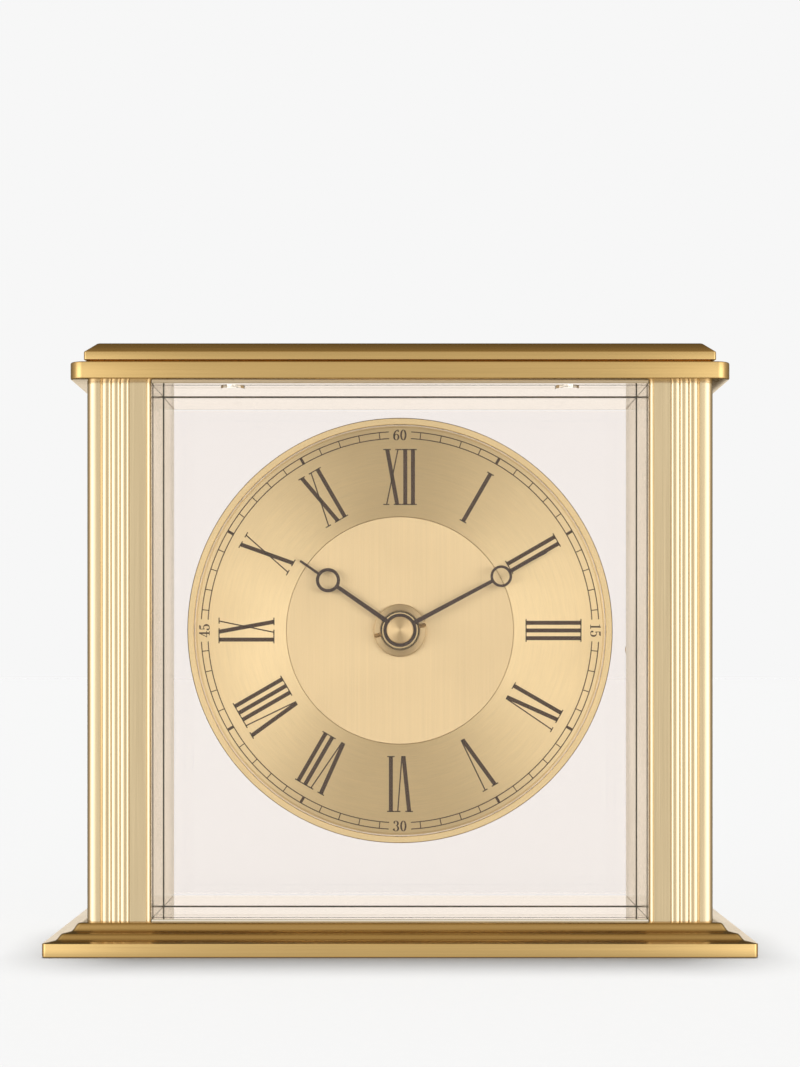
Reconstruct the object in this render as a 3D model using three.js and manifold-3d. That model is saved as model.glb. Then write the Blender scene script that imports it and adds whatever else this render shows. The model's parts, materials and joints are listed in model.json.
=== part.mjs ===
// A brass mantel clock: a stepped base and a chamfered top joined by two reeded pillars, three panes of
// glass between them, a round dial on the middle pane and a battery quartz movement behind it.
// Millimetres, +Z up, the front faces -Y, and the origin is the middle of the underside.
import * as THREE from "three";
import { mergeVertices } from "three/addons/utils/BufferGeometryUtils.js";
import Module from "manifold-3d";

const wasm = await Module();
wasm.setup();

// ---- Driving dimensions ----

const GAP = 0.3; // clearance between neighbours that touch or turn

const FELT_HEIGHT = 0.6; // the felt under the base
const BASE_TOP = 7.6;
const PILLAR_TOP = 142.9;
const SLAB_TOP = 147.2;
const CAP_TOP = 152.7;

const OPENING_HALF = 62.25; // half the width between the pillars
const PILLAR_WIDTH = 16.4;
const PILLAR_OUTER = OPENING_HALF + PILLAR_WIDTH;
const PILLAR_FRONT = -24;
const PILLAR_REAR = 22.9;
const PILLAR_CENTRE_X = OPENING_HALF + 8.5; // the middle of its hollow

// Each horizontal plate stands out past the pillars by the same amount at the front and at the sides.
const CAP_OVERHANG = 0.4;
const SLAB_OVERHANG = 3.6;
const TIERS = [
  { overhang: 9.2, bottom: 0.1, top: 3.6, bevel: [0.3, 0.3] },
  { overhang: 6.6, bottom: 3, top: 5.6, bevel: [2.4, 1.9] },
  { overhang: 3.2, bottom: 5, top: BASE_TOP, bevel: [1.9, 1.9] },
];
const MITRE_RADIUS = 1; // the corners of the base and the cap
const SLAB_CORNER_RADIUS = 3.3;
const CAP_CHAMFER = [3, 2.6]; // inwards, and down

const BASE_WALL = 4; // the plinth's rim round its hollow
const BASE_HOLLOW_TOP = 4.8;
const COVER_THICKNESS = 1.2;

const REED_WIDTH = 2.25;
const REED_COUNT = 3;
const REED_DEPTH = 0.55;
const BULLNOSE = 3.65; // the rounded outer part of a pillar's face
const QUIRK = 0.45; // the slope from the bullnose down into the first groove
const ARRIS = 1; // the bevel along a pillar's inner edges
const GROOVE_DEPTH = 2; // the glass grooves inside the pillars
const PILLAR_BORE = { halfWidth: 4.5, halfDepth: 18.5, radius: 1.5 }; // the pillars are hollow extrusions

const LINER_THICKNESS = 0.6;
const FRONT_GLASS = { front: -21.4, rear: -19.8 };
const DIAL_GLASS = { front: -1.5, rear: 1.5 };
const REAR_GLASS = { front: 23.5, rear: 25.5, half: 75.1, bottom: 8.6, top: 142 };
const DOOR_AXIS = { x: -74.1, y: 24.5 };

const ROD_RADIUS = 1.5;
const ROD_DEPTHS = { front: -14, rear: 13 };

const CENTRE_Z = 80.8; // the height of the hands' axis
const DIAL_RADIUS = 55.5;
const BEZEL_WIDTH = 1.8;
const RING_INNER = 29.9;
const DISC_RADIUS = 29.7;
const BUSH_RADIUS = 4.7;
const HOUR_ANGLE = 305.2; // the hands stand at ten past ten
const MINUTE_ANGLE = 61.7;

const CASE_HALF = 28; // the movement's square case
const CASE_FRONT = 2.3;
const CASE_WALL = 1.2;
const CASE_REAR = 16.3;
const BAY_TOP = -10.4; // the battery bay's top wall, from the hands' axis
const BATTERY_RADIUS = 7.1;
const BATTERY_LENGTH = 49.5;

// Wheels and pinions, each with its number of teeth, module and place in depth.
const GEARS = {
  hourWheel: { teeth: 32, module: 0.5, front: 4.5, rear: 5.5 },
  minutePinion: { teeth: 8, module: 0.5, front: 4.4, rear: 6.2 },
  cannonPinion: { teeth: 10, module: 0.5, front: 5.9, rear: 7.1 },
  minuteWheel: { teeth: 30, module: 0.5, front: 6.1, rear: 6.9 },
  centreWheel: { teeth: 45, module: 1 / 3, front: 7.5, rear: 8.2 },
  thirdPinion: { teeth: 6, module: 1 / 3, front: 7.4, rear: 8.8 },
  thirdWheel: { teeth: 48, module: 0.26, front: 8.8, rear: 9.4 },
  secondsPinion: { teeth: 6, module: 0.26, front: 8.6, rear: 10.1 },
  secondsWheel: { teeth: 40, module: 0.26, front: 10.1, rear: 10.7 },
};
const ARBOR_REAR = 16;

// ---- Solids ----

// A closed three.js geometry as a manifold-3d solid with its faces turned outwards.
function solid(geometry) {
  const bare = geometry.clone();
  bare.deleteAttribute("normal");
  bare.deleteAttribute("uv");
  const merged = mergeVertices(bare, 1e-4);
  const vertProperties = new Float32Array(merged.attributes.position.array);
  const triVerts = new Uint32Array(merged.index.array);
  const made = new wasm.Manifold(new wasm.Mesh({ numProp: 3, vertProperties, triVerts }));
  if (made.volume() > 0) return made;
  for (let i = 0; i < triVerts.length; i += 3) {
    const second = triVerts[i + 1];
    triVerts[i + 1] = triVerts[i + 2];
    triVerts[i + 2] = second;
  }
  return new wasm.Manifold(new wasm.Mesh({ numProp: 3, vertProperties, triVerts }));
}

function joined(first, ...rest) {
  return rest.reduce((sum, each) => sum.add(each), first);
}

function cut(first, ...rest) {
  return rest.reduce((sum, each) => sum.subtract(each), first);
}

// A box between two corners.
function box(low, high) {
  const size = high.map((value, i) => value - low[i]);
  const middle = high.map((value, i) => (value + low[i]) / 2);
  return solid(new THREE.BoxGeometry(...size).translate(...middle));
}

// A rounded rectangle about the origin of a shape's plane.
function roundedRectangle(halfWidth, halfHeight, radius) {
  const shape = new THREE.Shape();
  const right = halfWidth - radius;
  const top = halfHeight - radius;
  shape.absarc(right, top, radius, 0, Math.PI / 2);
  shape.absarc(-right, top, radius, Math.PI / 2, Math.PI);
  shape.absarc(-right, -top, radius, Math.PI, 1.5 * Math.PI);
  shape.absarc(right, -top, radius, 1.5 * Math.PI, 2 * Math.PI);
  return shape;
}

// A shape drawn in plan and extruded upwards.
function upright(shape, bottom, top, curveSegments = 4) {
  const depth = top - bottom;
  const geometry = new THREE.ExtrudeGeometry(shape, { depth, bevelEnabled: false, curveSegments });
  return solid(geometry.translate(0, 0, bottom));
}

// A shape drawn as seen from the front, extruded in depth, with its origin on the hands' axis.
function facing(shape, front, rear, curveSegments = 8) {
  const depth = rear - front;
  const geometry = new THREE.ExtrudeGeometry(shape, { depth, bevelEnabled: false, curveSegments });
  return solid(geometry.rotateX(Math.PI / 2).translate(0, rear, CENTRE_Z));
}

// A plate with a level top whose edge is rounded or, with one segment, chamfered. The edges of its sides
// meet in mitres, softened by a small corner radius.
function edgedPlate({ overhang, bottom, top, bevel, segments = 3 }) {
  const [inward, down] = bevel;
  const halfWidth = PILLAR_OUTER + overhang;
  const halfDepth = -PILLAR_FRONT + overhang;
  const shape = new THREE.Shape([[1, 1], [-1, 1], [-1, -1], [1, -1]].map(
    ([x, y]) => new THREE.Vector2(x * (halfWidth - inward), y * (halfDepth - inward))));
  const settings = {
    depth: top - bottom,
    bevelSize: inward,
    bevelThickness: down,
    bevelSegments: segments,
  };
  const plate = solid(new THREE.ExtrudeGeometry(shape, settings).translate(0, 0, bottom - down));
  return plate.intersect(upright(roundedRectangle(halfWidth, halfDepth, MITRE_RADIUS), bottom, top, 3));
}

// A cylinder upright along Z.
function rod(x, y, bottom, top, radius, segments = 8) {
  const geometry = new THREE.CylinderGeometry(radius, radius, top - bottom, segments);
  return solid(geometry.rotateX(Math.PI / 2).translate(x, y, (bottom + top) / 2));
}

// A turned piece about an axis in depth, from [radius, y] points, at x and z from the hands' axis.
function turned(profile, x = 0, z = 0, segments = 24) {
  const points = profile.map(([radius, y]) => new THREE.Vector2(radius, y));
  return solid(new THREE.LatheGeometry(points, segments).translate(x, 0, CENTRE_Z + z));
}

function disc(radius, front, rear, x, z, segments) {
  return turned([[0, front], [radius, front], [radius, rear], [0, rear]], x, z, segments);
}

function ring(inner, outer, front, rear, x, z, segments) {
  const profile = [[inner, front], [outer, front], [outer, rear], [inner, rear], [inner, front]];
  return turned(profile, x, z, segments);
}

const TEETH = { addendum: 0.7, dedendum: 1.05, root: 0.3, tip: 0.09 };

// A toothed wheel. Its teeth are narrow enough to run clear of the teeth that they drive.
function gear({ teeth, module, front, rear }, place, toothAngle) {
  const pitchRadius = (teeth * module) / 2;
  const tipRadius = pitchRadius + TEETH.addendum * module;
  const rootRadius = pitchRadius - TEETH.dedendum * module;
  const step = (2 * Math.PI) / teeth;
  const shape = new THREE.Shape();
  for (let i = 0; i < teeth; i += 1) {
    const middle = toothAngle + i * step;
    const corners = [
      [rootRadius, -TEETH.root], [tipRadius, -TEETH.tip], [tipRadius, TEETH.tip], [rootRadius, TEETH.root],
    ];
    for (const [radius, share] of corners) {
      const angle = middle + share * step;
      const point = [radius * Math.cos(angle), radius * Math.sin(angle)];
      if (i === 0 && share === -TEETH.root) shape.moveTo(...point);
      else shape.lineTo(...point);
    }
  }
  shape.closePath();
  return facing(shape, front, rear).translate([place.x, 0, place.z]);
}

// ---- The scene graph ----

const group = new THREE.Group();

function finish(color, roughness, metalness) {
  return () => new THREE.MeshStandardMaterial({ color, roughness, metalness });
}

const FINISHES = {
  caseBrass: finish(0xc2a063, 0.35, 1),
  pillarBrass: finish(0xd5c097, 0.3, 1),
  dialBrass: finish(0xecd6a6, 0.35, 1),
  brightBrass: finish(0xe0bf80, 0.15, 1),
  darkMetal: finish(0x4a3a3a, 0.4, 1),
  nickel: finish(0xd8d6d0, 0.15, 1),
  steel: finish(0xa8a9ab, 0.35, 1),
  blackPlastic: finish(0x17181a, 0.5, 0),
  whitePlastic: finish(0xe6e3da, 0.5, 0),
  board: finish(0x2c5a3a, 0.6, 0),
  copper: finish(0xa8622f, 0.35, 1),
  felt: finish(0x1d2b22, 0.95, 0),
  rubber: finish(0x141414, 0.8, 0),
  glass: () => new THREE.MeshStandardMaterial({
    color: 0xeef4f0, roughness: 0.03, metalness: 0, transparent: true, opacity: 0.2,
  }),
};

// Adds a named piece to the clock.
function piece(name, made, finishName) {
  const data = made.getMesh();
  const stride = data.numProp;
  const positions = new Float32Array(data.numVert * 3);
  for (let i = 0; i < data.numVert; i += 1) {
    positions.set(data.vertProperties.subarray(i * stride, i * stride + 3), i * 3);
  }
  const geometry = new THREE.BufferGeometry();
  geometry.setAttribute("position", new THREE.BufferAttribute(positions, 3));
  geometry.setIndex(new THREE.BufferAttribute(new Uint32Array(data.triVerts), 1));
  geometry.computeVertexNormals();
  const mesh = new THREE.Mesh(geometry, FINISHES[finishName]());
  mesh.name = name;
  group.add(mesh);
}

// ---- Base ----

const ROD_PLACES = [];
for (const [side, x] of [["left", -PILLAR_CENTRE_X], ["right", PILLAR_CENTRE_X]]) {
  for (const [end, y] of Object.entries(ROD_DEPTHS)) {
    ROD_PLACES.push({ name: `${end}_${side}`, x, y });
  }
}

function rodHoles(bottom, top) {
  return ROD_PLACES.map(({ x, y }) => rod(x, y, bottom, top, ROD_RADIUS + GAP));
}

function hingeHole(bottom, top) {
  return rod(DOOR_AXIS.x, DOOR_AXIS.y, bottom, top, HINGE.pin + GAP);
}

const HINGE = { pin: 0.8, reach: 1.8, right: -66, plate: 1, foot: 0.6, height: 7 };

function makeBase() {
  const [widest] = TIERS;
  const halfWidth = PILLAR_OUTER + widest.overhang;
  const halfDepth = -PILLAR_FRONT + widest.overhang;
  const rimWidth = halfWidth - BASE_WALL;
  const rimDepth = halfDepth - BASE_WALL;
  const coverTop = FELT_HEIGHT + COVER_THICKNESS;
  const hollowWidth = rimWidth - BASE_WALL;
  const hollowDepth = rimDepth - BASE_WALL;
  const plinth = cut(
    joined(...TIERS.map(edgedPlate)),
    box([-rimWidth, -rimDepth, 0], [rimWidth, rimDepth, coverTop]),
    box([-hollowWidth, -hollowDepth, coverTop - 1], [hollowWidth, hollowDepth, BASE_HOLLOW_TOP]),
    ...rodHoles(BASE_HOLLOW_TOP - 1, BASE_TOP + 1),
    hingeHole(BASE_TOP - HINGE.reach, BASE_TOP + 1),
  );
  piece("base_plinth", plinth, "caseBrass");
  const coverHalf = [rimWidth - GAP, rimDepth - GAP];
  const cover = box([-coverHalf[0], -coverHalf[1], FELT_HEIGHT], [coverHalf[0], coverHalf[1], coverTop]);
  piece("base_cover", cover, "steel");
  const felt = upright(roundedRectangle(coverHalf[0], coverHalf[1], 2), 0, FELT_HEIGHT);
  piece("felt_pad", felt, "felt");
}

// ---- Pillars, slab and cap ----

// The outline of a pillar in plan: u runs inwards from its outer face, and v runs back from its front.
function pillarOutline(side) {
  const depth = PILLAR_REAR - PILLAR_FRONT;
  const points = [];
  const add = (u, v) => points.push(new THREE.Vector2(side * (PILLAR_OUTER - u), PILLAR_FRONT + v));
  const corner = 5;
  const steps = 5;
  // The front face from the outer corner inwards, and the same again at the rear.
  const face = [];
  for (let i = 0; i <= corner; i += 1) {
    const angle = (i / corner) * (Math.PI / 2);
    face.push([BULLNOSE * (1 - Math.cos(angle)), BULLNOSE * (1 - Math.sin(angle)) ** 1.8]);
  }
  const start = BULLNOSE + QUIRK;
  face.push([start, REED_DEPTH]);
  for (let reed = 0; reed < REED_COUNT; reed += 1) {
    for (let i = 1; i <= steps; i += 1) {
      const across = i / steps;
      const u = start + (reed + across) * REED_WIDTH;
      const v = REED_DEPTH * (1 - Math.sin(Math.PI * across) ** 0.4);
      face.push([u, v]);
    }
  }
  const flat = face[face.length - 1][0];
  face.push([flat + 0.2, 0], [PILLAR_WIDTH - ARRIS, 0], [PILLAR_WIDTH, ARRIS]);
  for (const [u, v] of face) add(u, v);
  for (const pane of [FRONT_GLASS, DIAL_GLASS]) {
    const near = pane.front - PILLAR_FRONT - 0.1;
    const far = pane.rear - PILLAR_FRONT + 0.1;
    add(PILLAR_WIDTH, near);
    add(PILLAR_WIDTH - GROOVE_DEPTH, near);
    add(PILLAR_WIDTH - GROOVE_DEPTH, far);
    add(PILLAR_WIDTH, far);
  }
  for (const [u, v] of face.reverse()) add(u, depth - v);
  return new THREE.Shape(points);
}

const MAGNET = { radius: 2.5, depth: 2, z: -4.8 };

function makePillar(name, side) {
  const { halfWidth, halfDepth, radius } = PILLAR_BORE;
  const middle = [side * PILLAR_CENTRE_X, (PILLAR_FRONT + PILLAR_REAR) / 2, 0];
  const hollow = upright(roundedRectangle(halfWidth, halfDepth, radius), BASE_TOP - 1, PILLAR_TOP + 1, 2);
  const bored = cut(upright(pillarOutline(side), BASE_TOP, PILLAR_TOP), hollow.translate(middle));
  const pocket = disc(MAGNET.radius + 0.2, PILLAR_REAR - MAGNET.depth - 0.2, PILLAR_REAR + 1,
    PILLAR_CENTRE_X, MAGNET.z, 16);
  piece(name, side > 0 ? cut(bored, pocket) : bored, "pillarBrass");
}

const CAP_SCREW = { x: 42.5, y: -16.5, head: 3.1, headHeight: 0.4, shank: 1.3, reach: 150 };

function screwHoles(bottom, top) {
  return [-1, 1].map((side) => rod(side * CAP_SCREW.x, CAP_SCREW.y, bottom, top, CAP_SCREW.shank + GAP));
}

function makeTop() {
  const slabShape = roundedRectangle(
    PILLAR_OUTER + SLAB_OVERHANG, -PILLAR_FRONT + SLAB_OVERHANG, SLAB_CORNER_RADIUS);
  const slab = cut(
    upright(slabShape, PILLAR_TOP, SLAB_TOP),
    ...rodHoles(PILLAR_TOP - 1, SLAB_TOP + 1),
    ...screwHoles(PILLAR_TOP - 1, SLAB_TOP + 1),
    hingeHole(PILLAR_TOP - 1, PILLAR_TOP + HINGE.reach),
  );
  piece("cornice_slab", slab, "caseBrass");
  const cap = edgedPlate({
    overhang: CAP_OVERHANG, bottom: SLAB_TOP, top: CAP_TOP, bevel: CAP_CHAMFER, segments: 1,
  });
  piece("cap_plate", cut(cap, ...screwHoles(SLAB_TOP - 1, CAP_SCREW.reach + GAP)), "caseBrass");
}

function makeFasteners() {
  const headTop = BASE_HOLLOW_TOP;
  for (const { name, x, y } of ROD_PLACES) {
    const made = joined(
      rod(x, y, headTop - 2, headTop, 2 * ROD_RADIUS, 6),
      rod(x, y, headTop - 0.5, SLAB_TOP - GAP, ROD_RADIUS),
    );
    piece(`tie_rod_${name}`, made, "steel");
  }
  const ceiling = PILLAR_TOP - LINER_THICKNESS;
  for (const [side, sign] of [["left", -1], ["right", 1]]) {
    const x = sign * CAP_SCREW.x;
    const made = joined(
      rod(x, CAP_SCREW.y, ceiling - CAP_SCREW.headHeight, ceiling, CAP_SCREW.head, 16),
      rod(x, CAP_SCREW.y, ceiling - CAP_SCREW.headHeight / 2, CAP_SCREW.reach, CAP_SCREW.shank),
    );
    piece(`cap_screw_${side}`, made, "darkMetal");
  }
}

// ---- Liners and panes ----

function makeLiners() {
  const half = OPENING_HALF - 0.1;
  const spans = {
    front: [PILLAR_FRONT + 0.3, DIAL_GLASS.front - 0.1],
    rear: [DIAL_GLASS.rear + 0.1, PILLAR_REAR - 0.3],
  };
  for (const [end, [near, far]] of Object.entries(spans)) {
    const ceiling = box([-half, near, PILLAR_TOP - LINER_THICKNESS], [half, far, PILLAR_TOP]);
    const holes = end === "front" ? screwHoles(PILLAR_TOP - 2, PILLAR_TOP + 1) : [];
    piece(`${end}_ceiling_liner`, cut(ceiling, ...holes), "nickel");
    const floor = box([-half, near, BASE_TOP], [half, far, BASE_TOP + LINER_THICKNESS]);
    piece(`${end}_floor_liner`, floor, "nickel");
  }
}

function makePanes() {
  const half = OPENING_HALF + GROOVE_DEPTH - GAP;
  const floor = BASE_TOP + LINER_THICKNESS;
  const ceiling = PILLAR_TOP - LINER_THICKNESS;
  const front = box([-half, FRONT_GLASS.front, floor], [half, FRONT_GLASS.rear, ceiling]);
  piece("front_glass", front, "glass");
  const middle = box([-half, DIAL_GLASS.front, BASE_TOP], [half, DIAL_GLASS.rear, PILLAR_TOP]);
  const hole = disc(BUSH_RADIUS + GAP, DIAL_GLASS.front - 1, DIAL_GLASS.rear + 1);
  piece("dial_glass", cut(middle, hole), "glass");
}

// ---- Dial ----

const DIAL_PLANES = { back: DIAL_GLASS.front, plate: -2.7, disc: -3.6, ring: -3.8, bezel: -4.5 };
const NUT = { outer: 6.9, inner: 4.95, front: -5.2, slot: 1.1, turn: -12.5 };

function makeDial() {
  const hole = BUSH_RADIUS + 0.2;
  const inside = DIAL_RADIUS - BEZEL_WIDTH;
  const { back, plate, disc: discFront, ring: ringFront, bezel } = DIAL_PLANES;
  piece("dial_backplate", ring(hole, inside - 0.2, plate, back, 0, 0, 64), "steel");
  piece("chapter_ring", ring(RING_INNER, inside - 0.2, ringFront, plate, 0, 0, 64), "dialBrass");
  piece("centre_disc", ring(hole, DISC_RADIUS, discFront, plate, 0, 0, 48), "dialBrass");
  const rim = [
    [inside, back], [inside, bezel + 0.3], [inside + 0.3, bezel], [DIAL_RADIUS - 0.5, bezel],
    [DIAL_RADIUS, bezel + 0.6], [DIAL_RADIUS, back], [inside, back],
  ];
  piece("dial_bezel", turned(rim, 0, 0, 60), "brightBrass");
  const slot = turnedAboutAxis(
    boxAboutAxis(-10, 10, -NUT.slot / 2, NUT.slot / 2, NUT.front - 1, NUT.front + 0.7), NUT.turn);
  piece("dial_nut", cut(ring(NUT.inner, NUT.outer, NUT.front, discFront, 0, 0, 32), slot), "brightBrass");
}

// ---- Movement ----

const BORE = { bush: 2.7, pipeOuter: 2.3, pipeInner: 1.3, arbor: 1 };
const MINUTE_WHEEL = { x: -6, z: 8 };
const THIRD = polar(8.5, 35);
const SECONDS = polar(7.02, 60, THIRD);
const ROTOR = polar(6.9, 150, SECONDS);

function polar(distance, degrees, from = { x: 0, z: 0 }) {
  const angle = THREE.MathUtils.degToRad(degrees);
  return { x: from.x + distance * Math.cos(angle), z: from.z + distance * Math.sin(angle) };
}

// Turns a solid clockwise about the hands' axis.
function turnedAboutAxis(made, degrees) {
  return made.translate([0, 0, -CENTRE_Z]).rotate([0, degrees, 0]).translate([0, 0, CENTRE_Z]);
}

function boxAboutAxis(left, right, bottom, top, front, rear) {
  return box([left, front, CENTRE_Z + bottom], [right, rear, CENTRE_Z + top]);
}

function makeCase() {
  const inner = CASE_HALF - CASE_WALL;
  const floor = CASE_FRONT + CASE_WALL;
  const tray = cut(
    facing(roundedRectangle(CASE_HALF, CASE_HALF, 3), CASE_FRONT, CASE_REAR, 3),
    boxAboutAxis(-inner, inner, BAY_TOP + CASE_WALL, inner, floor, CASE_REAR + 1),
    boxAboutAxis(-inner, inner, -inner, BAY_TOP, floor, CASE_REAR + 1),
    disc(BUSH_RADIUS + 0.1, CASE_FRONT - 1, floor + 1),
  );
  piece("movement_case", tray, "blackPlastic");
  const coverRear = CASE_REAR + CASE_WALL;
  const cover = cut(
    boxAboutAxis(-CASE_HALF + 0.5, CASE_HALF - 0.5, BAY_TOP, CASE_HALF - 0.5, CASE_REAR, coverRear),
    disc(1.5, CASE_REAR - 1, coverRear + 1, MINUTE_WHEEL.x, MINUTE_WHEEL.z, 12),
  );
  piece("movement_rear_cover", cover, "blackPlastic");
  const bush = [
    [BORE.bush, -5], [BUSH_RADIUS, -5], [BUSH_RADIUS, floor], [6.5, floor], [6.5, floor + 0.6],
    [BORE.bush, floor + 0.6], [BORE.bush, -5],
  ];
  piece("centre_bush", turned(bush, 0, 0, 24), "brightBrass");
  piece("rubber_washer", ring(BUSH_RADIUS + 0.5, 9, DIAL_GLASS.rear, CASE_FRONT), "rubber");
}

function makeBattery() {
  const z = CENTRE_Z + (BAY_TOP - CASE_HALF + CASE_WALL) / 2;
  const y = CASE_FRONT + CASE_WALL + BATTERY_RADIUS + 0.1;
  const along = (radius, left, right, segments) => solid(
    new THREE.CylinderGeometry(radius, radius, right - left, segments)
      .rotateZ(Math.PI / 2).translate((left + right) / 2, y, z));
  const half = BATTERY_LENGTH / 2;
  const body = joined(along(BATTERY_RADIUS, -half, half, 24), along(2.7, half - 1, half + 1, 12));
  piece("battery", body, "blackPlastic");
  const wall = CASE_HALF - CASE_WALL;
  const plate = (left, right) => box([left, y - 4, z - 6], [right, y + 5, z + 6]);
  piece("positive_contact", plate(wall - 0.5, wall), "nickel");
  const spring = joined(plate(-wall, -wall + 0.5), along(3.4, -wall + 0.2, -half - 0.1, 12));
  piece("negative_contact", spring, "nickel");
}

function makeElectronics() {
  piece("circuit_board", boxAboutAxis(11, 26, 17.5, 26, 4.5, 5.5), "board");
  const crystal = new THREE.CylinderGeometry(1, 1, 6, 12).rotateZ(Math.PI / 2);
  piece("quartz_crystal", solid(crystal.translate(20, 6.5, CENTRE_Z + 23)), "nickel");
  const coilZ = 22.3;
  const middle = 12.3;
  const tube = [[1.3, -8], [3.2, -8], [3.2, 8], [1.3, 8], [1.3, -8]];
  const winding = new THREE.LatheGeometry(tube.map((p) => new THREE.Vector2(...p)), 16)
    .rotateZ(Math.PI / 2).translate(-12, middle, CENTRE_Z + coilZ);
  piece("coil", solid(winding), "copper");
  const [near, far] = [middle - 0.4, middle + 0.4];
  const stator = cut(
    joined(
      boxAboutAxis(-23, 8.4, 11.2, 18, near, far),
      boxAboutAxis(-23, -20.6, 11.2, 23.1, near, far),
      boxAboutAxis(-23, -1, coilZ - 0.8, coilZ + 0.8, near, far),
      boxAboutAxis(-3.4, -1, 14, 23.1, near, far),
    ),
    boxAboutAxis(-20.5, -3.5, 13.5, 17.7, near - 1, far + 1),
    disc(3, near - 1, far + 1, ROTOR.x, ROTOR.z, 16),
  );
  piece("stator", stator, "steel");
  const rotor = joined(
    disc(2.6, 11.2, 13.4, ROTOR.x, ROTOR.z, 16),
    disc(0.9, 9.9, 11.3, ROTOR.x, ROTOR.z, 8),
    disc(0.4, 9.2, ARBOR_REAR, ROTOR.x, ROTOR.z, 8),
  );
  piece("rotor", rotor, "steel");
}

// Two wheels mesh with a tooth of the first and a space of the second on the line between them.
function meshAngles(from, to, follower) {
  const line = Math.atan2(to.z - from.z, to.x - from.x);
  return [line, line + Math.PI + Math.PI / follower.teeth];
}

function makeTrain() {
  const axis = { x: 0, z: 0 };
  const [cannonAngle, minuteWheelAngle] = meshAngles(axis, MINUTE_WHEEL, GEARS.minuteWheel);
  const [minutePinionAngle, hourAngle] = meshAngles(MINUTE_WHEEL, axis, GEARS.hourWheel);
  const [centreAngle, thirdPinionAngle] = meshAngles(axis, THIRD, GEARS.thirdPinion);
  const [thirdAngle, secondsPinionAngle] = meshAngles(THIRD, SECONDS, GEARS.secondsPinion);

  const centre = joined(
    disc(BORE.arbor, -9.6, ARBOR_REAR, 0, 0, 16),
    gear(GEARS.cannonPinion, axis, cannonAngle),
    gear(GEARS.centreWheel, axis, centreAngle),
  );
  piece("centre_wheel", centre, "brightBrass");

  const hour = cut(
    joined(disc(BORE.pipeOuter, -6.6, 5.5, 0, 0, 16), gear(GEARS.hourWheel, axis, hourAngle)),
    disc(BORE.pipeInner, -7, 6, 0, 0, 16),
  );
  piece("hour_wheel", hour, "brightBrass");

  const minuteWheel = joined(
    gear(GEARS.minuteWheel, MINUTE_WHEEL, minuteWheelAngle),
    gear(GEARS.minutePinion, MINUTE_WHEEL, minutePinionAngle),
    disc(0.9, 4, 19.4, MINUTE_WHEEL.x, MINUTE_WHEEL.z, 12),
  );
  piece("minute_wheel", minuteWheel, "whitePlastic");

  const third = joined(
    gear(GEARS.thirdPinion, THIRD, thirdPinionAngle),
    gear(GEARS.thirdWheel, THIRD, thirdAngle),
    disc(0.4, 6.9, ARBOR_REAR, THIRD.x, THIRD.z, 8),
  );
  piece("third_wheel", third, "whitePlastic");

  const seconds = joined(
    gear(GEARS.secondsPinion, SECONDS, secondsPinionAngle),
    gear(GEARS.secondsWheel, SECONDS, 0),
    disc(0.3, 8, ARBOR_REAR, SECONDS.x, SECONDS.z, 8),
  );
  piece("seconds_wheel", seconds, "whitePlastic");

  const knob = [[0, 20.6], [4.6, 20.6], [5, 20.2], [5, 17.9], [1.2, 17.9], [1.2, 19.7], [0, 19.7]];
  piece("setting_knob", turned(knob, MINUTE_WHEEL.x, MINUTE_WHEEL.z, 18), "blackPlastic");
}

// ---- Hands ----

// A flat hand with a ring near its tip, drawn upright and then turned clockwise to its angle.
function hand({ front, rear, hub, bore, root, neck, ringAt, ringOuter, ringInner, needle, tip, angle }) {
  const stem = new THREE.Shape([
    new THREE.Vector2(-root, 0), new THREE.Vector2(root, 0),
    new THREE.Vector2(neck, ringAt - ringInner), new THREE.Vector2(-neck, ringAt - ringInner),
  ]);
  const point = new THREE.Shape([
    new THREE.Vector2(-needle, ringAt + ringInner), new THREE.Vector2(needle, ringAt + ringInner),
    new THREE.Vector2(needle * 0.6, tip), new THREE.Vector2(-needle * 0.6, tip),
  ]);
  const made = cut(
    joined(
      disc(hub, front, rear, 0, 0, 24),
      facing(stem, front, rear),
      ring(ringInner, ringOuter, front, rear, 0, ringAt, 24),
      facing(point, front, rear),
    ),
    disc(bore, front - 1, rear + 1, 0, 0, 16),
  );
  return turnedAboutAxis(made, angle);
}

function makeHands() {
  const hourHand = hand({
    front: -6.6, rear: -6, hub: 3.9, bore: BORE.pipeOuter + 0.05, root: 0.6, neck: 0.44,
    ringAt: 22.8, ringOuter: 3.15, ringInner: 2.3, needle: 0.34, tip: 31.7, angle: HOUR_ANGLE,
  });
  piece("hour_hand", hourHand, "darkMetal");
  const minuteHand = hand({
    front: -8.4, rear: -7.8, hub: 4.3, bore: BORE.arbor + 0.05, root: 0.58, neck: 0.42,
    ringAt: 29.7, ringOuter: 2.8, ringInner: 2.12, needle: 0.32, tip: 43, angle: MINUTE_ANGLE,
  });
  piece("minute_hand", minuteHand, "darkMetal");
  const cap = [
    [0, -10.9], [2, -10.7], [3.1, -10.1], [3.45, -9.4], [3.45, -8.5], [1.2, -8.5], [1.2, -9.8], [0, -9.8],
  ];
  piece("hand_cap", turned(cap, 0, 0, 24), "brightBrass");
}

// ---- Rear door ----

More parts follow.
